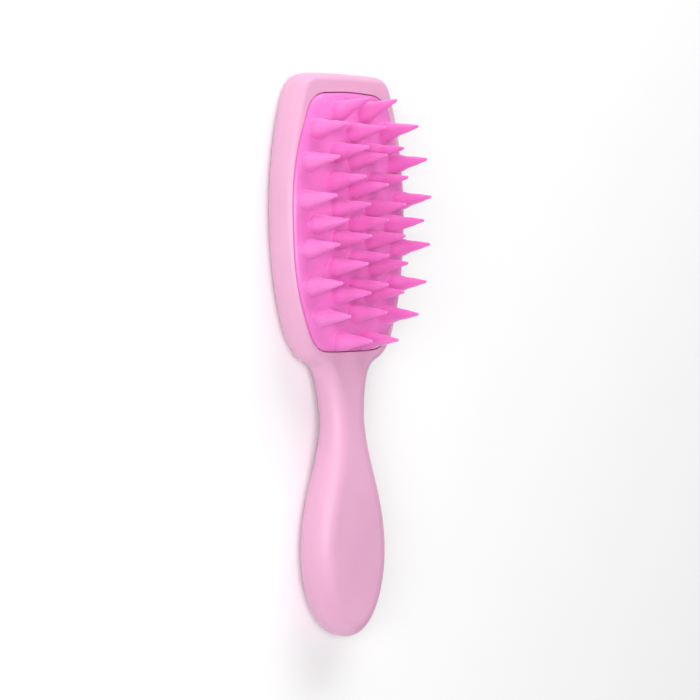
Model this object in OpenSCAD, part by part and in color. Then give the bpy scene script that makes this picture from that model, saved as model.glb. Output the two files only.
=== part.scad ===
// Scalp massager brush: a hollow two-part body whose head holds a soft insert with long cone teeth.
// It lies on its back: +Z is the side with the teeth, +Y is the head's end, X is the width.
// The origin is under the middle of the bounding box, on the surface that the brush rests on.

/* [Body] */
// Length of the brush from the top of the head to the end of the handle
overall_len = 205; // [190:1:220]
// Width of the head where it is widest
head_w = 61; // [58:1:66]
// Width of the head's straight top edge, corners included
head_top_w = 46.5; // [43:0.5:48]
// Thickness of the head without the insert
head_t = 14; // [13.5:0.5:16]
// Width of the neck
neck_w = 17; // [16.5:0.1:20]
// Width of the handle where it is widest
grip_w = 35; // [32:1:40]
// Thickness of the handle
grip_t = 17; // [16.5:0.5:20]
// Height of the neck's underside over the surface that the brush rests on
neck_lift = 2; // [0.5:0.5:3]

/* [Edges and walls] */
// Width of the head's front edge round, seen from the front
head_front_w = 3; // [2:0.5:3.5]
// Width of the handle's front edge round
grip_front_w = 6.5; // [5:0.5:7]
// Width of the head's back edge round
head_back_w = 5.2; // [4:0.2:5.4]
// Width of the handle's back edge round
grip_back_w = 7; // [5:0.5:7.5]
// Share of the body's thickness that the front edge's round takes
front_share = 0.38; // [0.3:0.01:0.44]
// Share of the body's thickness that the back edge's round takes
back_share = 0.5; // [0.42:0.01:0.54]
// Thickness of the body's walls
wall = 2.2; // [1.8:0.1:2.4]
// Thickness of the back cover
cover_t = 2; // [1.8:0.1:2.4]

/* [Insert] */
// Width of the rim beside the insert
rim_side = 2.4; // [2.4:0.1:3.5]
// Width of the rim at the top of the head
rim_top = 7; // [5:0.5:7]
// Distance of the insert's lower end from the middle of the brush's length
insert_low = 2; // [1:0.5:4]
// Gap between the rim and the insert all round
insert_gap = 0.3; // [0.3:0.05:0.5]
// Depth of the recess below the rim
recess_deep = 4; // [3.5:0.1:4.5]
// Height of the insert's edge over the rim
edge_rise = 0.1; // [0:0.1:0.8]
// Further height of the insert's middle over its edge
dome_rise = 2.6; // [1.5:0.1:3]
// Thickness of the carrier plate
carrier_t = 1.8; // [1.5:0.1:2]

/* [Teeth] */
// Length of a tooth from its foot to its tip
tooth_len = 17.2; // [14:0.2:20]
// Diameter of a tooth at its foot
tooth_foot_d = 7.2; // [6:0.1:7.4]
// Diameter of a tooth at the middle of its length
tooth_mid_d = 4; // [3.4:0.1:4.6]
// Diameter of a tooth's rounded tip
tooth_tip_d = 1.2; // [1:0.1:2]
// How far the top pair of tips stands above its feet, along the insert
lean_top = 3.7; // [2:0.1:4]
// The same for most of the teeth
lean_most = 1.3; // [0:0.1:2]
// The same for the lowest teeth
lean_low = 0.3; // [0:0.1:1]
// Width of the lower half's tooth rows as a share of the upper half's
low_rows = 0.96; // [0.9:0.01:1]

/* [Hidden] */

body_pink = [0.93, 0.69, 0.80];
cover_pink = [0.90, 0.66, 0.78];
pad_pink = [1.0, 0.45, 0.76];
carrier_white = [0.92, 0.90, 0.91];

half_len = overall_len / 2;
overlap = 0.5;

// Steps along each stretch of the outlines
top_steps = 3;
corner_steps = 5;
side_steps = 8;
shoulder_steps = 11;
end_steps = 9;
round_steps = 6;
seam_steps = 4;

// Places on the right-hand half of the body's outline
head_wide_y = 52.5;
neck_y = -23;
grip_wide_y = -71;
grip_len = grip_wide_y + half_len;
top_mid = [0, half_len];
top_corner = [head_top_w / 2 - 6.5, half_len - 0.3];
side_top = [head_top_w / 2, half_len - 5.8];
side_wide = [head_w / 2, head_wide_y];
shoulder = [14.6, -2.3];
neck = [neck_w / 2, neck_y];
grip_wide = [grip_w / 2, grip_wide_y];

// Places on the right-hand half of the insert's outline
insert_high = half_len - rim_top;
insert_mid_y = (insert_high + insert_low) / 2;
insert_half_len = (insert_high - insert_low) / 2;
insert_top = [0, insert_high];
insert_top_corner = [head_top_w / 2 - 11.5, insert_high - 0.5];
insert_side_top = [head_top_w / 2 - 2.1, insert_high - 8.5];
insert_wide = [head_w / 2 - rim_side, head_wide_y];
insert_side_low = [20.8, insert_low + 8];
insert_low_corner = [11.5, insert_low + 0.2];
insert_bottom = [0, insert_low];

// Heights in the head
floor_z = head_t - recess_deep;
ceiling_z = floor_z - 2;
edge_z = head_t + edge_rise;
skirt_z = floor_z + 0.2;

// The carrier's pegs and the holes that they push into
peg_places = [[14, 80], [-14, 80], [14, 18], [-14, 18]];
peg_r = 1.6;
peg_len = 4.6;
peg_hole_r = 1.7;
peg_hole_deep = 5.2;
peg_boss_r = 3.4;
peg_boss_len = 4;

// The back cover's pins and the holes that they push into
pin_places = [[19, 66], [-19, 66], [18, 32], [-18, 32], [0, 89.5], [0, -48], [0, -84]];
pin_r = 1.5;
pin_len = 3.4;
pin_hole_r = 1.58;
pin_hole_deep = 3.4;
pin_boss_r = 3.2;
pin_boss_gap = 0.6;

// The cover's locating lip
lip_gap = 0.2;
lip_t = 1.3;
lip_h = 1.4;
ledge_w = 2.2;

// The flat land on the back of the head that the brush rests on
land_h = 0.2;
land_inset = 4;

// The holes in the carrier that the insert's studs fill
stud_places = [[0, 84], [0, 63], [0, 35], [0, 14], [18, insert_mid_y], [-18, insert_mid_y]];
stud_r = 2;
stud_hole_r = 2.05;
carrier_inset = 2.1;
pocket_inset = 2;

// Tips of the teeth in one quarter of the insert, from their middle: across, then along
middle_column = [[0, 0], [0, 12.6], [0, 23], [0, 33]];
inner_column = [[8.9, 5.6], [10.6, 15.4], [8.8, 25.8], [6.9, 43]];
outer_column = [[19.3, 0], [24, 8.6], [22.2, 22.2], [18, 34]];
quarter = concat(middle_column, inner_column, outer_column);
// Each tip and its mirror images; a tip on a middle line has no image across it
teeth = [for (q = quarter) for (sx = q[0] > 0 ? [1, -1] : [1]) for (sy = q[1] > 0 ? [1, -1] : [1])
    [sx * q[0] * (sy < 0 ? low_rows : 1), sy * q[1]]];
// Where along the insert the lean changes, from the teeth's middle
lean_low_y = -34;
lean_most_y = -14;
lean_top_y = 43;
// Where a tooth's foot ends, the middle of its shaft and the shaft's end, as shares of its length
foot_stop = 0.18;
shaft_mid = 0.44;
shaft_stop = 0.72;
// The flare under the foot, and how far the section is off the foot's and the shaft's radius
foot_flare = 0.3;
foot_draw = 0.3;
shaft_swell = 0.15;
shaft_draw = 0.55;
// Depth of a tooth's root in the insert
tooth_root = 1.2;
// The teeth's middle lies a little above the insert's
teeth_mid_y = insert_mid_y + 0.5;
// Share by which a tooth's foot is nearer to the middle of the insert than its tip
foot_in = 0.03;

function mix(a, b, t) = a + (b - a) * t;
function ease(t) = let (u = min(1, max(0, t))) u * u * (3 - 2 * u);
function bezier(a, b, c, d, t) =
    a * pow(1 - t, 3) + 3 * b * t * pow(1 - t, 2) + 3 * c * t * t * (1 - t) + d * pow(t, 3);
// One stretch of an outline, without its last point
function stretch(a, b, c, d, n) = [for (k = [0:n - 1]) bezier(a, b, c, d, k / n)];
// A whole outline from its right-hand half, clockwise from above
function mirrored(half) = concat(half, [for (k = [len(half) - 2:-1:1]) [-half[k][0], half[k][1]]]);
// The direction that points inward at a point of an outline
function inward(points, k) = let (
    n = len(points),
    along = points[(k + 1) % n] - points[(k + n - 1) % n]
) [along[1], -along[0]] / norm(along);
function inset(points, k, d) = points[k] + inward(points, k) * d;
function inset_all(points, d) = [for (k = [0:len(points) - 1]) inset(points, k, d)];

body_outline = mirrored(concat(
    stretch(top_mid, top_mid + [6, 0], top_corner + [-6, 0.12], top_corner, top_steps),
    stretch(top_corner, top_corner + [3.5, -0.2], side_top + [-1, 3.2], side_top, corner_steps),
    stretch(side_top, side_top + [4.1, -12], side_wide + [0, 17.5], side_wide, side_steps),
    stretch(side_wide, side_wide - [0, 21], shoulder + [11.5, 2.7], shoulder, shoulder_steps),
    stretch(shoulder, shoulder - [3.6, 0.85], neck + [0.7, 13.6], neck, side_steps),
    stretch(neck, neck - [0, 15], grip_wide + [0, 19], grip_wide, side_steps),
    [for (k = [0:end_steps - 1]) let (a = 90 * k / end_steps)
        [grip_w / 2 * cos(a), grip_wide_y - grip_len * sin(a)]],
    [[0, -half_len]]
));

insert_outline = mirrored(concat(
    stretch(insert_top, insert_top + [5, 0], insert_top_corner + [-5, 0.2], insert_top_corner, top_steps),
    stretch(insert_top_corner, insert_top_corner + [5, -0.35],
        insert_side_top + [-1.6, 4.7], insert_side_top, corner_steps),
    stretch(insert_side_top, insert_side_top + [3.9, -11], insert_wide + [0, 17], insert_wide, side_steps),
    stretch(insert_wide, insert_wide - [0, 25], insert_side_low + [4, 9.5], insert_side_low, side_steps),
    stretch(insert_side_low, insert_side_low - [2.2, 5.2],
        insert_low_corner + [4.6, 0.15], insert_low_corner, corner_steps),
    stretch(insert_low_corner, insert_low_corner - [4, 0.15], insert_bottom + [4, 0], insert_bottom, top_steps),
    [insert_bottom]
));

land_outline = inset_all(insert_outline, land_inset);

// The body's section changes from the head to the handle
function z_front(y) = mix(head_t, grip_t, ease((4 - y) / 60));
function z_back(y) = let (u = (y - neck_y) / 34)
    land_h + (abs(u) < 1 ? neck_lift * pow(cos(90 * u), 2) : 0);
function z_ceiling(y) = mix(ceiling_z, z_front(y) - wall, ease((-3 - y) / 12));
function front_w(y) = mix(head_front_w, grip_front_w, ease((6 - y) / 26));
function back_w(y) = mix(head_back_w, grip_back_w, ease((2 - y) / 30));
function front_h(y) = front_share * (z_front(y) - z_back(y));
function back_h(y) = back_share * (z_front(y) - z_back(y));
// The angle on the back edge's round, from its underside, at which the cover ends
function seam_angle(y) = acos(1 - cover_t / back_h(y));
// How far the round has drawn in at the seam
function seam_inset(y) = back_w(y) * (1 - sin(seam_angle(y)));

// A closed solid through contours of equal count, from the lowest up. Each contour mirrors left to
// right from its first point, so strips across it close the two ends.
module loft(contours) {
    n = len(contours[0]);
    m = len(contours);
    half = n / 2;
    function flip(faces) = [for (f = faces) [for (k = [len(f) - 1:-1:0]) f[k]]];
    function cap(base) = concat(
        [[base, base + 1, base + n - 1]],
        [for (k = [1:half - 2]) [base + k, base + k + 1, base + n - k - 1, base + n - k]],
        [[base + half - 1, base + half, base + half + 1]]
    );
    walls = [for (j = [0:m - 2]) for (k = [0:n - 1])
        [j * n + k, j * n + (k + 1) % n, (j + 1) * n + (k + 1) % n, (j + 1) * n + k]];
    polyhedron([for (c = contours) each c], concat(walls, flip(cap(0)), cap((m - 1) * n)), convexity = 10);
}

// A contour of the body on the back edge's round: 0 is the underside, 1 the seam and 2 the side
function low_contour(s) = [for (k = [0:len(body_outline) - 1])
    let (
        y = body_outline[k][1],
        a = s < 1 ? seam_angle(y) * s : mix(seam_angle(y), 90, s - 1),
        p = inset(body_outline, k, back_w(y) * (1 - sin(a)))
    ) [p[0], p[1], z_back(p[1]) + back_h(y) * (1 - cos(a))]];
// A contour on the front edge's round, at an angle from the side to the front
function high_contour(a) = [for (k = [0:len(body_outline) - 1])
    let (y = body_outline[k][1], p = inset(body_outline, k, front_w(y) * (1 - cos(a))))
        [p[0], p[1], z_front(p[1]) - front_h(y) * (1 - sin(a))]];
// A contour of the body's hollow near the back cover, and one on its rounded upper edge
function mouth_contour(h, extra = 0) = [for (k = [0:len(body_outline) - 1])
    let (p = inset(body_outline, k, seam_inset(body_outline[k][1]) + ledge_w + extra))
        [p[0], p[1], z_back(p[1]) + h]];
function hollow_contour(a) = [for (k = [0:len(body_outline) - 1])
    let (
        r = max(0.8, front_w(body_outline[k][1]) - wall),
        p = inset(body_outline, k, wall + r * (1 - cos(a)))
    ) [p[0], p[1], z_ceiling(p[1]) - r * (1 - sin(a))]];

// A peg, pin or hole along Z from a height
module post(place, z, r, length) {
    translate([place[0], place[1], z]) cylinder(r = r, h = length, $fn = 48);
}

module front_shell() {
    color(body_pink) difference() {
        union() {
            difference() {
                loft(concat(
                    [for (k = [0:seam_steps]) low_contour(1 + k / seam_steps)],
                    [for (k = [0:round_steps]) high_contour(90 * k / round_steps)]
                ));
                loft(concat(
                    [mouth_contour(cover_t - 1), mouth_contour(cover_t + 1)],
                    [for (k = [0:3]) hollow_contour(30 * k)]
                ));
            }
            for (p = peg_places) post(p, ceiling_z - peg_boss_len, peg_boss_r, peg_boss_len + overlap);
            for (p = pin_places) {
                foot = z_back(p[1]) + cover_t + pin_boss_gap;
                post(p, foot, pin_boss_r, z_ceiling(p[1]) + overlap - foot);
            }
        }
        translate([0, 0, floor_z])
            linear_extrude(recess_deep + overlap) polygon(inset_all(insert_outline, -insert_gap));
        for (p = peg_places) post(p, floor_z - peg_hole_deep, peg_hole_r, peg_hole_deep + overlap);
        for (p = pin_places) {
            foot = z_back(p[1]) + cover_t + pin_boss_gap;
            post(p, foot - overlap, pin_hole_r, pin_hole_deep + overlap);
        }
    }
}

module back_cover() {
    color(cover_pink) {
        loft([for (k = [0:seam_steps]) low_contour(k / seam_steps)]);
        linear_extrude(land_h + overlap) polygon(land_outline);
        difference() {
            loft([for (h = [cover_t - overlap, cover_t + lip_h]) mouth_contour(h, lip_gap)]);
            loft([for (h = [cover_t - 2 * overlap, cover_t + 2 * lip_h]) mouth_contour(h, lip_gap + lip_t)]);
        }
        for (p = pin_places) post(p, z_back(p[1]) + cover_t - overlap, pin_r, pin_len + overlap);
    }
}

module pad_carrier() {
    color(carrier_white) difference() {
        union() {
            translate([0, 0, floor_z])
                linear_extrude(carrier_t) polygon(inset_all(insert_outline, carrier_inset));
            for (p = peg_places) post(p, floor_z - peg_len, peg_r, peg_len + overlap);
        }
        for (p = stud_places) post(p, floor_z - overlap, stud_hole_r, carrier_t + 2 * overlap);
    }
}

// The insert's face is where two wide round vaults cross, one across it and one along it
function vault_r(half) = (half * half + dome_rise * dome_rise) / (2 * dome_rise);
across_r = vault_r(insert_wide[0]);
along_r = vault_r(insert_half_len);

// Half of a tooth's section: a full foot, a slimmer shaft, a pointed end and a round tip
foot_r = tooth_foot_d / 2;
mid_r = tooth_mid_d / 2;
tip_r = tooth_tip_d / 2;
tooth_profile = concat(
    [[0, -tooth_root], [foot_r + foot_flare, -tooth_root]],
    [[foot_r + foot_flare, -foot_flare], [foot_r, foot_flare]],
    [[foot_r - foot_draw, foot_stop * tooth_len], [mid_r + shaft_swell, shaft_mid * tooth_len]],
    [[mid_r - shaft_draw, shaft_stop * tooth_len]],
    [for (a = [0:45:90]) [tip_r * cos(a), tooth_len - tip_r * (1 - sin(a))]]
);
function lean(y) = mix(lean_low, lean_most, ease((y - lean_low_y) / (lean_most_y - lean_low_y)))
    + (lean_top - lean_most) * ease((y + lean_low_y) / (lean_top_y + lean_low_y));
// The tips follow a dome of the same rise as the face
function tip_z(tip) = edge_z + dome_rise + tooth_len
    - dome_rise * (pow(tip[0] / insert_wide[0], 2) + pow(tip[1] / insert_half_len, 2));

// A tooth whose tip stands at a place from the teeth's middle, above its foot
module tooth(tip) {
    foot_x = tip[0] * (1 - foot_in);
    foot_y = tip[1] - lean(tip[1]);
    over = [tip[0] - foot_x, lean(tip[1])];
    rise = sqrt(tooth_len * tooth_len - over * over);
    translate([foot_x, teeth_mid_y + foot_y, tip_z(tip) - rise])
        rotate([0, asin(norm(over) / tooth_len), atan2(over[1], over[0])])
            rotate_extrude($fn = 32) polygon(tooth_profile);
}

module tooth_pad() {
    color(pad_pink) {
        difference() {
            union() {
                intersection() {
                    translate([0, 0, skirt_z]) linear_extrude(recess_deep * 2) polygon(insert_outline);
                    translate([0, 0, edge_z + dome_rise - across_r]) rotate([90, 0, 0])
                        cylinder(r = across_r, h = 2 * overall_len, center = true, $fn = 240);
                    translate([0, insert_mid_y, edge_z + dome_rise - along_r]) rotate([0, 90, 0])
                        cylinder(r = along_r, h = 2 * head_w, center = true, $fn = 480);
                }
                for (tip = teeth) tooth(tip);
            }
            translate([0, 0, floor_z - overlap])
                linear_extrude(carrier_t + overlap) polygon(inset_all(insert_outline, pocket_inset));
        }
        for (p = stud_places) post(p, floor_z + overlap, stud_r, carrier_t);
    }
}

front_shell();
back_cover();
pad_carrier();
tooth_pad();
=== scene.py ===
import math

import bpy
import bmesh
import numpy as np
from mathutils import Matrix, Vector
from mathutils.geometry import delaunay_2d_cdt


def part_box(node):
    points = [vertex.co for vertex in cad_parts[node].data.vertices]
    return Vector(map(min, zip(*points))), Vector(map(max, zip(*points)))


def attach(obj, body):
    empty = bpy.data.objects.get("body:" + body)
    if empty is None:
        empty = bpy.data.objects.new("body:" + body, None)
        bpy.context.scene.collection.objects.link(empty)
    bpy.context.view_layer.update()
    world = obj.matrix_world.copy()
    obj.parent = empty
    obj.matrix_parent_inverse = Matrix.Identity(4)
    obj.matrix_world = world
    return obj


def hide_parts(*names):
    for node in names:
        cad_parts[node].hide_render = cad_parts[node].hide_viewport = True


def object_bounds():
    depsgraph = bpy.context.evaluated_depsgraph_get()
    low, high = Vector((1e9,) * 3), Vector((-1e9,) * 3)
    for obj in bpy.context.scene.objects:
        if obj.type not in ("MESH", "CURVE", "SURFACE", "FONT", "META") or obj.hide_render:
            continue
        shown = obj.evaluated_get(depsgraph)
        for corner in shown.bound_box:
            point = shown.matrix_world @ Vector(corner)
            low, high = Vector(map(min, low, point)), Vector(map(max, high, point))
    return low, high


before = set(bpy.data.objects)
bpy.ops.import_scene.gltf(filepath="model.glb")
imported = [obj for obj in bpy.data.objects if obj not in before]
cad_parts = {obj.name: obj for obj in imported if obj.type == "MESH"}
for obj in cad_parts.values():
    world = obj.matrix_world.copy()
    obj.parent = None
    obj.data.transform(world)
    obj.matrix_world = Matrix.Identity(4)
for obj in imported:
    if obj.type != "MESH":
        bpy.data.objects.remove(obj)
cad_low, cad_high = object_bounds()

# All shapes are worked out in millimetres in the row frame and scaled once, when a mesh is made.
MM = 0.001
pad_low, pad_high = (np.array(c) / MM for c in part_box("tooth_pad"))
HALF_LEN = cad_high[1] / MM
HEAD_HALF = cad_high[0] / MM
INSERT_HALF = pad_high[0]
INSERT_HIGH = pad_high[1]
INSERT_LOW = pad_low[1]
INSERT_MID = (INSERT_HIGH + INSERT_LOW) / 2
# The teeth's middle lies a little above the insert's
TEETH_MID = INSERT_MID + 0.5
SKIRT_Z = pad_low[2]
# The recess's floor lies a little under the insert's skirt
FLOOR_Z = SKIRT_Z - 0.2
CARRIER_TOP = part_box("pad_carrier")[1][2] / MM

# The body's design sizes, as in the CAD model
HEAD_TOP_HALF = 23.25
NECK_HALF = 8.5
GRIP_HALF = 17.5
HEAD_T, GRIP_T = 14.0, 17.0
NECK_LIFT = 2.0
HEAD_FRONT_W, GRIP_FRONT_W = 3.0, 6.5
HEAD_BACK_W, GRIP_BACK_W = 5.2, 7.0
FRONT_SHARE, BACK_SHARE = 0.38, 0.5
WALL = 2.2
COVER_T = 2.0
# How far both edges step in where the shell and the cover meet, and the gap round the insert
SEAM = 0.12
INSERT_GAP = 0.22
# The flat land on the back, its inset from the insert's outline and its rounded edge
LAND_H, LAND_INSET = 0.2, 4
LAND_ROUND_W, LAND_ROUND_H = 0.15, 0.12
# The cover's locating lip, and the ledge between it and the seam
LIP_GAP, LIP_T, LIP_H, LEDGE_W = 0.2, 1.3, 1.4, 2.2
# How deep parts that are joined reach into each other
OVERLAP = 0.5
HEAD_WIDE_Y, NECK_Y, GRIP_WIDE_Y = 52.5, -23.0, -71.0
PEG_PLACES = [(14, 80), (-14, 80), (14, 18), (-14, 18)]
PEG_HOLE_R, PEG_HOLE_DEEP, PEG_BOSS_R = 1.7, 5.2, 3.4
# Depths under the recess's floor where a peg's boss ends and begins
PEG_BOSS_END, PEG_BOSS_START = 6, 1.5
PIN_PLACES = [(19, 66), (-19, 66), (18, 32), (-18, 32), (0, 89.5), (0, -48), (0, -84)]
PIN_R, PIN_LEN, PIN_HOLE_R, PIN_BOSS_R, PIN_BOSS_GAP = 1.5, 3.4, 1.58, 3.2, 0.6
STUD_PLACES = [(0, 84), (0, 63), (0, 35), (0, 14), (18, INSERT_MID), (-18, INSERT_MID)]
STUD_R = 2.0


# ---- outlines ------------------------------------------------------------------------------

def bezier(a, b, c, d, n=160):
    a, b, c, d = (np.array(p, float) for p in (a, b, c, d))
    t = np.linspace(0, 1, n, endpoint=False)[:, None]
    return a * (1 - t) ** 3 + 3 * b * t * (1 - t) ** 2 + 3 * c * t * t * (1 - t) + d * t ** 3


def even(points, step):
    """The same open line with points at an even spacing of about step."""
    gaps = np.r_[0, np.cumsum(np.linalg.norm(np.diff(points, axis=0), axis=1))]
    n = int(round(gaps[-1] / step))
    at = np.linspace(0, gaps[-1], n + 1)
    return np.c_[np.interp(at, gaps, points[:, 0]), np.interp(at, gaps, points[:, 1])]


def smooth(points, passes):
    """Rounds off the small kinks where two curves join. The line's ends lie on the middle line."""
    for _ in range(passes):
        before = np.r_[points[1:2] * [-1, 1], points[:-1]]
        after = np.r_[points[1:], points[-2:-1] * [-1, 1]]
        points = (before + 2 * points + after) / 4
    return points


def mirrored(half):
    return np.r_[half, half[-2:0:-1] * [-1, 1]]


def body_outline(step):
    corner = np.array([HEAD_TOP_HALF - 6.5, HALF_LEN - 0.3])
    side_top = np.array([HEAD_TOP_HALF, HALF_LEN - 5.8])
    wide = np.array([HEAD_HALF, HEAD_WIDE_Y])
    shoulder = np.array([14.6, -2.3])
    neck = np.array([NECK_HALF, NECK_Y])
    grip = np.array([GRIP_HALF, GRIP_WIDE_Y])
    end = np.radians(np.linspace(0, 90, 160))
    half = np.r_[
        bezier([0, HALF_LEN], [6, HALF_LEN], corner + [-6, 0.12], corner),
        bezier(corner, corner + [3.5, -0.2], side_top + [-1, 3.2], side_top),
        bezier(side_top, side_top + [4.1, -12], wide + [0, 17.5], wide),
        bezier(wide, wide - [0, 21], shoulder + [11.5, 2.7], shoulder),
        bezier(shoulder, shoulder - [3.6, 0.85], neck + [0.7, 13.6], neck),
        bezier(neck, neck - [0, 15], grip + [0, 19], grip),
        np.c_[GRIP_HALF * np.cos(end), GRIP_WIDE_Y - (GRIP_WIDE_Y + HALF_LEN) * np.sin(end)],
    ]
    half = smooth(even(half, step), 6)
    half[[0, -1], 0] = 0
    return mirrored(half)


def insert_outline(step):
    top_corner = np.array([HEAD_TOP_HALF - 11.5, INSERT_HIGH - 0.5])
    side_top = np.array([HEAD_TOP_HALF - 2.1, INSERT_HIGH - 8.5])
    wide = np.array([INSERT_HALF, HEAD_WIDE_Y])
    side_low = np.array([20.8, INSERT_LOW + 8])
    low_corner = np.array([11.5, INSERT_LOW + 0.2])
    half = np.r_[
        bezier([0, INSERT_HIGH], [5, INSERT_HIGH], top_corner + [-5, 0.2], top_corner),
        bezier(top_corner, top_corner + [5, -0.35], side_top + [-1.6, 4.7], side_top),
        bezier(side_top, side_top + [3.9, -11], wide + [0, 17], wide),
        bezier(wide, wide - [0, 25], side_low + [4, 9.5], side_low),
        bezier(side_low, side_low - [2.2, 5.2], low_corner + [4.6, 0.15], low_corner),
        bezier(low_corner, low_corner - [4, 0.15], [4, INSERT_LOW], [0, INSERT_LOW]),
        [[0, INSERT_LOW]],
    ]
    half = smooth(even(half, step), 4)
    half[[0, -1], 0] = 0
    return mirrored(half)


def inward(points):
    along = np.roll(points, -1, axis=0) - np.roll(points, 1, axis=0)
    normal = np.c_[along[:, 1], -along[:, 0]]
    return normal / np.linalg.norm(normal, axis=1)[:, None]


# ---- the body's section --------------------------------------------------------------------

def ease(t):
    u = np.clip(t, 0, 1)
    return u * u * (3 - 2 * u)


def mix(a, b, t):
    return a + (b - a) * t


def z_front(y):
    return mix(HEAD_T, GRIP_T, ease((4 - y) / 60))


def z_back(y):
    u = np.clip((y - NECK_Y) / 34, -1, 1)
    return LAND_H + NECK_LIFT * np.cos(math.pi / 2 * u) ** 2


def z_ceiling(y):
    return mix(FLOOR_Z - 2, z_front(y) - WALL, ease((-3 - y) / 12))


def front_w(y):
    return mix(HEAD_FRONT_W, GRIP_FRONT_W, ease((6 - y) / 26))


def back_w(y):
    return mix(HEAD_BACK_W, GRIP_BACK_W, ease((2 - y) / 30))


def front_h(y):
    return FRONT_SHARE * (z_front(y) - z_back(y))


def back_h(y):
    return BACK_SHARE * (z_front(y) - z_back(y))


def seam_angle(y):
    """The angle on the back edge's round, from its underside, at which the cover ends."""
    return np.arccos(1 - COVER_T / back_h(y))


BODY = body_outline(0.8)
BODY_IN = inward(BODY)
INSERT = insert_outline(0.6)
INSERT_IN = inward(INSERT)


def low_ring(s, extra=0.0):
    """A ring on the back edge's round: 0 is the underside, 1 the seam and 2 the side."""
    y = BODY[:, 1]
    a = seam_angle(y) * s if s < 1 else mix(seam_angle(y), math.pi / 2, s - 1)
    p = BODY + BODY_IN * (back_w(y) * (1 - np.sin(a)) + extra)[:, None]
    return np.c_[p, z_back(p[:, 1]) + back_h(y) * (1 - np.cos(a))]


def high_ring(angle):
    """A ring on the front edge's round, at an angle from the side to the front."""
    a = math.radians(angle)
    y = BODY[:, 1]
    p = BODY + BODY_IN * (front_w(y) * (1 - math.cos(a)))[:, None]
    return np.c_[p, z_front(p[:, 1]) - front_h(y) * (1 - math.sin(a))]


def mouth_ring(h, extra=0.0):
    """A ring of the hollow near the back cover."""
    y = BODY[:, 1]
    p = BODY + BODY_IN * (back_w(y) * (1 - np.sin(seam_angle(y))) + LEDGE_W + extra)[:, None]
    return np.c_[p, z_back(p[:, 1]) + h]


def hollow_ring(angle):
    """A ring on the hollow's rounded upper edge."""
    a = math.radians(angle)
    r = np.maximum(0.8, front_w(BODY[:, 1]) - WALL)
    p = BODY + BODY_IN * (WALL + r * (1 - math.cos(a)))[:, None]
    return np.c_[p, z_ceiling(p[:, 1]) - r * (1 - math.sin(a))]


# ---- meshes --------------------------------------------------------------------------------

def make(name, points, faces):
    mesh = bpy.data.meshes.new(name)
    mesh.from_pydata((np.asarray(points, float) * MM).tolist(), [], [list(map(int, f)) for f in faces])
    mesh.validate()
    obj = bpy.data.objects.new(name, mesh)
    bpy.context.scene.collection.objects.link(obj)
    return obj


def level(points, z):
    """An outline at one height."""
    return np.c_[points, np.full(len(points), z)]


def loft(name, rings):
    """A closed solid through rings of equal count that mirror left to right."""
    n, m = len(rings[0]), len(rings)
    half = n // 2
    faces = [[j * n + k, j * n + (k + 1) % n, (j + 1) * n + (k + 1) % n, (j + 1) * n + k]
             for j in range(m - 1) for k in range(n)]

    def cap(base):
        strips = [[base, base + 1, base + n - 1]]
        strips += [[base + k, base + k + 1, base + n - k - 1, base + n - k] for k in range(1, half - 1)]
        return strips + [[base + half - 1, base + half, base + half + 1]]

    faces += [f[::-1] for f in cap(0)] + cap((m - 1) * n)
    obj = make(name, np.concatenate(rings), faces)
    out(obj)
    return obj


def out(obj):
    """Turns all faces outward."""
    bm = bmesh.new()
    bm.from_mesh(obj.data)
    bmesh.ops.recalc_face_normals(bm, faces=bm.faces)
    bm.to_mesh(obj.data)
    bm.free()


def posts(name, items, sides=48):
    """Separate round posts, each (x, y, low z, high z, radius), as one mesh."""
    points, faces = [], []
    for x, y, low, high, r in items:
        base = len(points)
        for z in (low, high):
            points += [(x + r * math.cos(a), y + r * math.sin(a), z)
                       for a in np.linspace(0, 2 * math.pi, sides, endpoint=False)]
        faces += [[base + k, base + (k + 1) % sides, base + sides + (k + 1) % sides, base + sides + k]
                  for k in range(sides)]
        faces += [list(range(base + sides - 1, base - 1, -1)), list(range(base + sides, base + 2 * sides))]
    return make(name, points, faces)


def combine(obj, other, operation):
    """Adds or cuts other, and leaves only the result."""
    mod = obj.modifiers.new(operation, "BOOLEAN")
    mod.operation = operation
    mod.object = other
    mod.solver = "MANIFOLD"
    apply_modifiers(obj)
    bpy.data.objects.remove(other)
    return obj


def apply_modifiers(obj):
    bpy.context.view_layer.update()
    graph = bpy.context.evaluated_depsgraph_get()
    mesh = bpy.data.meshes.new_from_object(obj.evaluated_get(graph))
    obj.modifiers.clear()
    old = obj.data
    obj.data = mesh
    mesh.name = obj.name
    bpy.data.meshes.remove(old)


def finish_shading(obj):
    obj.data.shade_smooth()
    obj.data.set_sharp_from_angle(angle=math.radians(32))
    mod = obj.modifiers.new("face_weights", "WEIGHTED_NORMAL")
    mod.mode = "FACE_AREA"
    mod.weight = 50
    mod.keep_sharp = True


# ---- the body ------------------------------------------------------------------------------

# The recess's rounded mouth, and how far its cutter stands out over the rim
MOUTH_R, ABOVE = 0.35, 1.5


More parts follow.
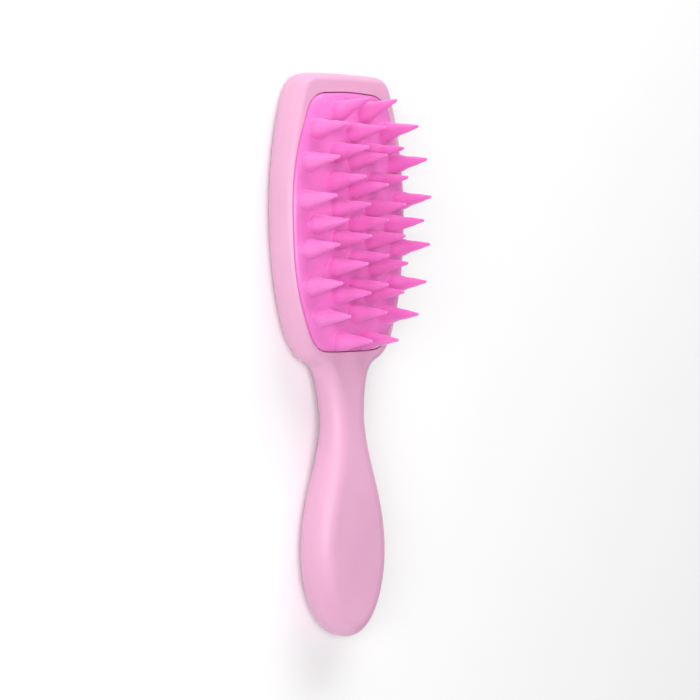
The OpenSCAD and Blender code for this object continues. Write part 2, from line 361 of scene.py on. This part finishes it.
def front_shell():
    outer = [low_ring(1, SEAM)]
    outer += [low_ring(s) for s in np.linspace(1.03, 2, 14)]
    outer += [high_ring(90 * k / 16) for k in range(17)]
    inner = [hollow_ring(30 * k) for k in (3, 2, 1, 0)]
    solid = loft("front_shell_skin", outer)
    hollow = loft("hollow", [mouth_ring(COVER_T - 1), mouth_ring(COVER_T + 1)] + inner[::-1])
    combine(solid, hollow, "DIFFERENCE")
    bosses = [(x, y, FLOOR_Z - PEG_BOSS_END, FLOOR_Z - PEG_BOSS_START, PEG_BOSS_R) for x, y in PEG_PLACES]
    bosses += [(x, y, z_back(y) + COVER_T + PIN_BOSS_GAP, z_ceiling(y) + OVERLAP, PIN_BOSS_R)
               for x, y in PIN_PLACES]
    combine(solid, posts("bosses", bosses), "UNION")
    # The recess has a softly rounded floor and mouth
    section = [(0.5, FLOOR_Z), (0.15, FLOOR_Z + 0.15), (0.0, FLOOR_Z + 0.5)]
    section += [(-MOUTH_R * (1 - math.cos(a)), HEAD_T - MOUTH_R * (1 - math.sin(a)))
                for a in np.radians(np.linspace(0, 90, 5))]
    cut = [level(INSERT + INSERT_IN * (inset - INSERT_GAP), z) for inset, z in section]
    cut.append(cut[-1] + [0, 0, ABOVE])
    combine(solid, loft("recess", cut), "DIFFERENCE")
    holes = [(x, y, FLOOR_Z - PEG_HOLE_DEEP, FLOOR_Z + OVERLAP, PEG_HOLE_R) for x, y in PEG_PLACES]
    for x, y in PIN_PLACES:
        foot = z_back(y) + COVER_T + PIN_BOSS_GAP
        holes.append((x, y, foot - OVERLAP, foot + PIN_LEN, PIN_HOLE_R))
    combine(solid, posts("holes", holes), "DIFFERENCE")
    finish_shading(solid)
    return solid


def back_cover():
    rings = [low_ring(s) for s in np.linspace(0, 0.97, 10)]
    rings += [low_ring(1, SEAM)]
    plate = loft("back_cover_skin", rings)
    land = INSERT + INSERT_IN * LAND_INSET
    soft = INSERT + INSERT_IN * (LAND_INSET + LAND_ROUND_W)
    combine(plate, loft("land", [level(soft, 0), level(land, LAND_ROUND_H), level(land, LAND_H + OVERLAP)]),
            "UNION")
    lip = loft("lip", [mouth_ring(COVER_T - OVERLAP, LIP_GAP), mouth_ring(COVER_T + LIP_H, LIP_GAP)])
    inner = loft("lip_inner", [mouth_ring(COVER_T - 2 * OVERLAP, LIP_GAP + LIP_T),
                               mouth_ring(COVER_T + 2 * LIP_H, LIP_GAP + LIP_T)])
    combine(lip, inner, "DIFFERENCE")
    combine(plate, lip, "UNION")
    pins = [(x, y, z_back(y) + COVER_T - OVERLAP, z_back(y) + COVER_T + PIN_LEN, PIN_R)
            for x, y in PIN_PLACES]
    combine(plate, posts("pins", pins), "UNION")
    finish_shading(plate)
    return plate


# ---- the insert ----------------------------------------------------------------------------

# The face's rolled edge, the height of the face at its edge and its dome, and the dome that the tips follow
EDGE_W, EDGE_V = 0.9, 0.8
PAD_EDGE_Z, PAD_RISE = 14.95, 1.75
TIP_RISE = 2.6
SIDES = 40
# Tips of the teeth in one quarter of the insert, from their middle: across, then along
QUARTER = [(0, 0), (0, 12.6), (0, 23), (0, 33), (8.9, 5.6), (10.6, 15.4), (8.8, 25.8), (6.9, 43),
           (19.3, 0), (24, 8.6), (22.2, 22.2), (18, 34)]
LOW_ROWS = 0.96
TEETH = [(sx * x * (LOW_ROWS if sy < 0 else 1), sy * y)
         for x, y in QUARTER for sx in ((1, -1) if x else (1,)) for sy in ((1, -1) if y else (1,))]
# A tooth's radius at distances from its foot, up to where its round tip starts
TOOTH_R = [(0, 3.62), (1.2, 3.6), (2.2, 3.5), (3.2, 3.3), (4.2, 3.05), (5.2, 2.76), (6.2, 2.46), (7.2, 2.2),
           (8.2, 2.05), (9.2, 1.92), (10.2, 1.79), (11.2, 1.64), (12.2, 1.46), (13.2, 1.25), (14.2, 1.02),
           (15.2, 0.82), (16.0, 0.7), (16.6, 0.6)]
TIP_R = 0.6
FILLET = 0.35
# A tooth's foot lies nearer to the long axis than its tip, by this share
FOOT_SHARE = 0.97
# How far tips stand above their feet along the insert: the lowest, most teeth, and what the top ones add
LEAN_LOW, LEAN_MOST, LEAN_TOP_MORE = 0.3, 1.3, 2.4
# Where the lean starts and stops growing, at the low end and at the top
LEAN_LOW_Y, LEAN_MOST_Y, LEAN_TOP_FROM_Y, LEAN_TOP_Y = -34, -14, 34, 43
# How wide and how deep the face falls off near its edge
SHOULDER_W, SHOULDER_V = 4.0, 0.9
# Inset of the pocket that the carrier sits in, and the sides of a stud
POCKET_IN, STUD_SIDES = 2.0, 32


def tooth_lean(y):
    """How far a tip stands above its foot along the insert: more at the top, little at the low end."""
    most = float(ease((y - LEAN_LOW_Y) / (LEAN_MOST_Y - LEAN_LOW_Y)))
    top = float(ease((y - LEAN_TOP_FROM_Y) / (LEAN_TOP_Y - LEAN_TOP_FROM_Y)))
    return mix(LEAN_LOW, LEAN_MOST, most) + LEAN_TOP_MORE * top


def tip_z(x, y):
    """A tip's height, from the domed run of the tips."""
    q = (x / INSERT_HALF) ** 2 + (y / (INSERT_HIGH - INSERT_MID)) ** 2
    return pad_high[2] - TIP_RISE * q


# How far the insert's outline lies from its middle, by direction
REACH_ANGLE = np.mod(np.arctan2(INSERT[:, 1] - INSERT_MID, INSERT[:, 0]), 2 * math.pi)
REACH = np.hypot(INSERT[:, 0], INSERT[:, 1] - INSERT_MID)[np.argsort(REACH_ANGLE)]
REACH_ANGLE = np.sort(REACH_ANGLE)


def pad_z(x, y):
    """The face's dome: equally high all round the insert's edge, with a fall-off near it."""
    v = np.asarray(y, float) - INSERT_MID
    x = np.asarray(x, float)
    angle = np.mod(np.arctan2(v, x), 2 * math.pi)
    reach = np.interp(angle, REACH_ANGLE, REACH, period=2 * math.pi)
    s = np.hypot(x, v) / reach
    near = np.clip(1 - (1 - s) * reach / SHOULDER_W, 0, 1)
    return PAD_EDGE_Z + PAD_RISE * (1 - s * s) - SHOULDER_V * near ** 2


def tooth_axis(tip):
    """The foot's place on the pad's face and the tip's place."""
    x, y = tip[0] * FOOT_SHARE, TEETH_MID + tip[1] - tooth_lean(tip[1])
    top = np.array([tip[0], TEETH_MID + tip[1], tip_z(tip[0], tip[1])])
    return np.array([x, y, float(pad_z(x, y))]), top


def tooth_rings(foot, top):
    """A tooth's rings from the fillet on the face to its round tip, and the tip's end."""
    axis = top - foot
    length = np.linalg.norm(axis)
    axis = axis / length
    stretch = (length - TIP_R) / TOOTH_R[-1][0]
    at = np.array([t for t, _ in TOOTH_R]) * stretch
    radius = np.array([r for _, r in TOOTH_R])
    section = []
    for a in np.radians(np.linspace(0, 75, 7)):
        section.append((FILLET * (1 - math.cos(a)), TOOTH_R[0][1] + FILLET * (1 - math.sin(a))))
    for t in np.linspace(section[-1][0], length - TIP_R, 26)[1:]:
        r = np.interp([t - 0.5, t - 0.25, t, t + 0.25, t + 0.5], at, radius).mean()
        section.append((t, r))
    section[-1] = (length - TIP_R, TIP_R)
    for a in np.radians([22, 44, 64, 80]):
        section.append((length - TIP_R + TIP_R * math.sin(a), TIP_R * math.cos(a)))
    around = np.linspace(0, 2 * math.pi, SIDES, endpoint=False)
    c, s = np.cos(around), np.sin(around)
    # The ring square to the axis starts at the same compass point as the ring on the face
    e1 = np.array([1, 0, 0]) - axis * axis[0]
    e1 /= np.linalg.norm(e1)
    e2 = np.cross(axis, e1)
    rings = []
    for t, r in section:
        on = np.c_[foot[0] + r * c, foot[1] + r * s]
        surface = np.c_[on, pad_z(on[:, 0], on[:, 1]) + t]
        square = foot + axis * t + r * (c[:, None] * e1 + s[:, None] * e2)
        rings.append(mix(surface, square, ease(t / 2.5)))
    return rings, top


def inside(points, poly):
    """Which points lie inside a closed polygon."""
    x, y = points[:, 0][:, None], points[:, 1][:, None]
    a, b = poly, np.roll(poly, -1, axis=0)
    crossing = (a[:, 1] > y) != (b[:, 1] > y)
    with np.errstate(divide="ignore", invalid="ignore"):
        at = (b[:, 0] - a[:, 0]) * (y - a[:, 1]) / (b[:, 1] - a[:, 1]) + a[:, 0]
    return (crossing & (x < at)).sum(1) % 2 == 1


def sheet_with_holes(outer, holes, spacing, clear):
    """Triangles over a flat region, even in size: points, faces, and where each loop's points are."""
    loops = [outer] + holes
    points, edges, starts = [], [], []
    for loop in loops:
        base = len(points)
        starts.append(base)
        points += [tuple(p) for p in loop]
        edges += [(base + k, base + (k + 1) % len(loop)) for k in range(len(loop))]
    low, high = outer.min(0), outer.max(0)
    grid = []
    for j, y in enumerate(np.arange(low[1], high[1], spacing * 0.866)):
        for x in np.arange(low[0] + (j % 2) * spacing / 2, high[0], spacing):
            grid.append((x, y))
    grid = np.array(grid)
    keep = inside(grid, outer)
    fixed = np.array(points)
    for k in range(0, len(grid), 400):
        d = np.linalg.norm(grid[k:k + 400, None] - fixed[None], axis=2).min(1)
        keep[k:k + 400] &= d > clear
    for hole in holes:
        centre = hole.mean(0)
        keep &= np.linalg.norm(grid - centre, axis=1) > np.linalg.norm(hole[0] - centre)
    points += [tuple(p) for p in grid[keep]]
    result = delaunay_2d_cdt([Vector(p) for p in points], edges, [], 0, 1e-6)
    verts, faces, origin = result[0], result[2], result[3]
    verts = np.array([tuple(v) for v in verts])
    back = {}
    for k, sources in enumerate(origin):
        for source in sources:
            back[source] = k
    middles = np.array([verts[list(f)].mean(0) for f in faces])
    good = inside(middles, outer)
    for hole in holes:
        centre = hole.mean(0)
        good &= np.linalg.norm(middles - centre, axis=1) > np.linalg.norm(hole[0] - centre) * 0.985
    faces = [list(f) for f, g in zip(faces, good) if g]
    index = [[back[start + k] for k in range(len(loop))] for start, loop in zip(starts, loops)]
    return verts, faces, index


def tooth_pad():
    """The soft insert with its teeth, as one closed mesh."""
    points, faces = [], []

    def add(ring):
        base = len(points)
        points.extend(map(tuple, ring))
        return list(range(base, base + len(ring)))

    def wall(a, b):
        n = len(a)
        faces.extend([a[k], a[(k + 1) % n], b[(k + 1) % n], b[k]] for k in range(n))

    # The face: an even sheet between the rolled edge and the teeth
    edge = INSERT + INSERT_IN * EDGE_W
    made = [tooth_rings(*tooth_axis(tip)) for tip in TEETH]
    verts, tris, loops = sheet_with_holes(edge, [rings[0][:, :2] for rings, _ in made], 1.1, 0.5)
    add(np.c_[verts, pad_z(verts[:, 0], verts[:, 1])])
    faces.extend(tris)
    for (rings, top), loop in zip(made, loops[1:]):
        low = loop
        for ring in rings[1:]:
            high = add(ring)
            wall(low, high)
            low = high
        tip = add([top])[0]
        faces.extend([low[k], low[(k + 1) % SIDES], tip] for k in range(SIDES))
    # The rolled edge and the skirt under it
    high = loops[0]
    for s in np.linspace(0.9, 0.0, 10):
        d = EDGE_W * s ** 1.6
        p = INSERT + INSERT_IN * d
        drop = EDGE_V * (1 - math.sqrt(max(0.0, 1 - (1 - d / EDGE_W) ** 2)))
        low = add(np.c_[p, pad_z(p[:, 0], p[:, 1]) - drop])
        wall(high, low)
        high = low
    for d, z in ((0, 12.5), (0, SKIRT_Z + 0.15), (0.15, SKIRT_Z), (POCKET_IN, SKIRT_Z),
                 (POCKET_IN, CARRIER_TOP)):
        low = add(level(INSERT + INSERT_IN * d, z))
        wall(high, low)
        high = low
    # The pocket's ceiling and the studs that fill the carrier's holes
    around = np.linspace(0, 2 * math.pi, STUD_SIDES, endpoint=False)
    studs = [np.array([x, y]) + STUD_R * np.c_[np.cos(around), np.sin(around)] for x, y in STUD_PLACES]
    verts, tris, loops = sheet_with_holes(INSERT + INSERT_IN * POCKET_IN, studs, 3.0, 1.2)
    at = add(level(verts, CARRIER_TOP))
    faces.extend([at[v] for v in reversed(f)] for f in tris)
    wall(high, [at[v] for v in loops[0]])
    for stud, loop in zip(studs, loops[1:]):
        low = add(level(stud, FLOOR_Z + OVERLAP))
        wall([at[v] for v in loop], low)
        faces.append(low)
    obj = make("tooth_pad_skin", points, faces)
    bm = bmesh.new()
    bm.from_mesh(obj.data)
    bmesh.ops.remove_doubles(bm, verts=bm.verts, dist=1e-7)
    bmesh.ops.recalc_face_normals(bm, faces=bm.faces)
    bm.to_mesh(obj.data)
    bm.free()
    obj.data.shade_smooth()
    obj.data.set_sharp_from_angle(angle=math.radians(50))
    return obj


# ---- materials -----------------------------------------------------------------------------

def node_material(name):
    material = bpy.data.materials.new(name)
    material.use_nodes = True
    tree = material.node_tree
    return material, tree, tree.nodes["Principled BSDF"]


def noise(tree, scale, detail=3.0, rough=0.5):
    where = tree.nodes.new("ShaderNodeTexCoord")
    node = tree.nodes.new("ShaderNodeTexNoise")
    node.inputs["Scale"].default_value = scale
    node.inputs["Detail"].default_value = detail
    node.inputs["Roughness"].default_value = rough
    tree.links.new(where.outputs["Object"], node.inputs["Vector"])
    return node.outputs["Fac"]


def spread(tree, value, low, high, out_low, out_high):
    node = tree.nodes.new("ShaderNodeMapRange")
    for socket, number in zip(("From Min", "From Max", "To Min", "To Max"), (low, high, out_low, out_high)):
        node.inputs[socket].default_value = number
    tree.links.new(value, node.inputs["Value"])
    return node.outputs["Result"]


def two_colours(tree, factor, a, b):
    node = tree.nodes.new("ShaderNodeMix")
    node.data_type = "RGBA"
    node.inputs["A"].default_value = (*a, 1)
    node.inputs["B"].default_value = (*b, 1)
    tree.links.new(factor, node.inputs["Factor"])
    return node.outputs["Result"]


def bump(tree, shader, layers):
    """Bump layers, each (height, strength, distance in metres)."""
    last = None
    for height, strength, distance in layers:
        node = tree.nodes.new("ShaderNodeBump")
        node.inputs["Strength"].default_value = strength
        node.inputs["Distance"].default_value = distance
        tree.links.new(height, node.inputs["Height"])
        if last is not None:
            tree.links.new(last, node.inputs["Normal"])
        last = node.outputs["Normal"]
    tree.links.new(last, shader.inputs["Normal"])


def srgb(r, g, b):
    def linear(v):
        v /= 255
        return v / 12.92 if v <= 0.04045 else ((v + 0.055) / 1.055) ** 2.4
    return linear(r), linear(g), linear(b)


def body_plastic(name, base, worn):
    """Satin moulded plastic with a fine sprayed grain."""
    material, tree, shader = node_material(name)
    cloud = spread(tree, noise(tree, 45, 4), 0.3, 0.7, 0, 1)
    colour = two_colours(tree, cloud, base, worn)
    tree.links.new(colour, shader.inputs["Base Color"])
    tree.links.new(spread(tree, noise(tree, 900, 2), 0.3, 0.7, 0.36, 0.44), shader.inputs["Roughness"])
    shader.inputs["Specular IOR Level"].default_value = 0.45
    shader.inputs["Subsurface Weight"].default_value = 0.12
    shader.inputs["Subsurface Radius"].default_value = (1.0, 0.45, 0.6)
    shader.inputs["Subsurface Scale"].default_value = 0.002
    bump(tree, shader, [(noise(tree, 2600, 2), 0.10, 0.00004), (noise(tree, 120, 3), 0.10, 0.00008)])
    return material


def silicone(name, base, deep):
    """Soft translucent silicone with a faint satin bloom."""
    material, tree, shader = node_material(name)
    cloud = spread(tree, noise(tree, 60, 4), 0.3, 0.7, 0, 1)
    colour = two_colours(tree, cloud, base, deep)
    tree.links.new(colour, shader.inputs["Base Color"])
    tree.links.new(spread(tree, noise(tree, 700, 3), 0.3, 0.7, 0.27, 0.38), shader.inputs["Roughness"])
    shader.inputs["Subsurface Weight"].default_value = 0.3
    shader.inputs["Subsurface Radius"].default_value = (1.0, 0.25, 0.6)
    shader.inputs["Subsurface Scale"].default_value = 0.0025
    shader.inputs["Specular IOR Level"].default_value = 0.45
    shader.inputs["Sheen Weight"].default_value = 0.25
    shader.inputs["Sheen Roughness"].default_value = 0.35
    shader.inputs["Sheen Tint"].default_value = (1.0, 0.75, 0.95, 1)
    bump(tree, shader, [(noise(tree, 1800, 2), 0.08, 0.00004), (noise(tree, 200, 3), 0.12, 0.00008)])
    return material


def carrier_plastic(name):
    """Unpainted moulded plastic with faint flow marks."""
    material, tree, shader = node_material(name)
    flow = spread(tree, noise(tree, 90, 5, 0.6), 0.35, 0.65, 0, 1)
    colour = two_colours(tree, flow, srgb(228, 216, 222), srgb(218, 204, 212))
    tree.links.new(colour, shader.inputs["Base Color"])
    tree.links.new(spread(tree, noise(tree, 500, 2), 0.3, 0.7, 0.42, 0.55), shader.inputs["Roughness"])
    bump(tree, shader, [(noise(tree, 1500, 2), 0.12, 0.00005), (noise(tree, 140, 3), 0.15, 0.0001)])
    return material


def paint(obj, material):
    obj.data.materials.clear()
    obj.data.materials.append(material)


shell_material = body_plastic("body_satin", srgb(227, 170, 202), srgb(222, 164, 197))
cover_material = body_plastic("cover_satin", srgb(225, 168, 200), srgb(220, 162, 195))
silicone_material = silicone("silicone_pink", srgb(238, 130, 206), srgb(231, 115, 197))

shell = front_shell()
paint(shell, shell_material)
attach(shell, "body")
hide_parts("front_shell")

cover = back_cover()
paint(cover, cover_material)
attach(cover, "body")
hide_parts("back_cover")

pad = tooth_pad()
paint(pad, silicone_material)
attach(pad, "insert")
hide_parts("tooth_pad")

paint(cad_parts["pad_carrier"], carrier_plastic("carrier_plastic"))


# ---- stage, light and camera ---------------------------------------------------------------

def floor():
    half = 3.0 / MM
    corners = [[-half, -half, 0], [half, -half, 0], [half, half, 0], [-half, half, 0]]
    obj = make("floor", corners, [[0, 1, 2, 3]])
    material, tree, shader = node_material("floor_paper")
    colour = two_colours(tree, noise(tree, 30, 3), (0.96, 0.955, 0.96), (0.94, 0.935, 0.94))
    tree.links.new(colour, shader.inputs["Base Color"])
    shader.inputs["Roughness"].default_value = 0.9
    shader.inputs["Specular IOR Level"].default_value = 0.1
    paint(obj, material)


floor()

PHI = math.radians(45)
PITCH = math.radians(2.4)
ROLL = math.radians(-0.5)
# Side of the square picture, focal length, scale per millimetre and where the target lies, all in pixels
PICTURE, FOCAL_PX, SCALE_PX = 700, 2300.0, 2.740
TARGET_X, TARGET_Y = 339.34, 356.32
TARGET = Vector((0, 0, 0.008))
right0 = Vector((math.cos(PHI), 0, math.sin(PHI)))
ahead0 = Vector((math.sin(PHI), 0, -math.cos(PHI)))
up0 = Vector((0, 1, 0))
ahead = ahead0 * math.cos(PITCH) - up0 * math.sin(PITCH)
up1 = up0 * math.cos(PITCH) + ahead0 * math.sin(PITCH)
right = right0 * math.cos(ROLL) + up1 * math.sin(ROLL)
up = up1 * math.cos(ROLL) - right0 * math.sin(ROLL)
eye = TARGET - ahead * (FOCAL_PX / SCALE_PX * MM)
eye += right * ((PICTURE / 2 - TARGET_X) / SCALE_PX * MM) + up * ((TARGET_Y - PICTURE / 2) / SCALE_PX * MM)

camera_data = bpy.data.cameras.new("camera")
camera_data.sensor_width = 36
camera_data.lens = FOCAL_PX / PICTURE * camera_data.sensor_width
camera_data.clip_start = 0.05
camera_data.clip_end = 20
camera = bpy.data.objects.new("camera", camera_data)
bpy.context.scene.collection.objects.link(camera)
turn = Matrix((right, up, -ahead)).transposed()
camera.matrix_world = Matrix.Translation(eye) @ turn.to_4x4()
bpy.context.scene.camera = camera


def softbox(name, toward, distance, size, power):
    """An area light that shines at the object from a direction."""
    data = bpy.data.lights.new(name, "AREA")
    data.shape = "RECTANGLE"
    data.size, data.size_y = size
    data.energy = power
    light = bpy.data.objects.new(name, data)
    bpy.context.scene.collection.objects.link(light)
    toward = Vector(toward).normalized()
    light.location = TARGET + toward * distance
    light.rotation_euler = toward.to_track_quat("Z", "Y").to_euler()


softbox("key", (-0.75, 0.05, 0.8), 1.1, (0.35, 1.2), 10.0)
softbox("top", (0.15, 0.95, 0.5), 1.1, (1.0, 0.45), 7.8)
softbox("fill", (0.2, -0.95, 0.45), 1.2, (1.0, 0.6), 2.8)

world = bpy.data.worlds.new("world")
bpy.context.scene.world = world
world.use_nodes = True
world.node_tree.nodes["Background"].inputs["Color"].default_value = (1.0, 1.0, 1.0, 1)
world.node_tree.nodes["Background"].inputs["Strength"].default_value = 0.27
bpy.context.scene.view_settings.view_transform = "Standard"
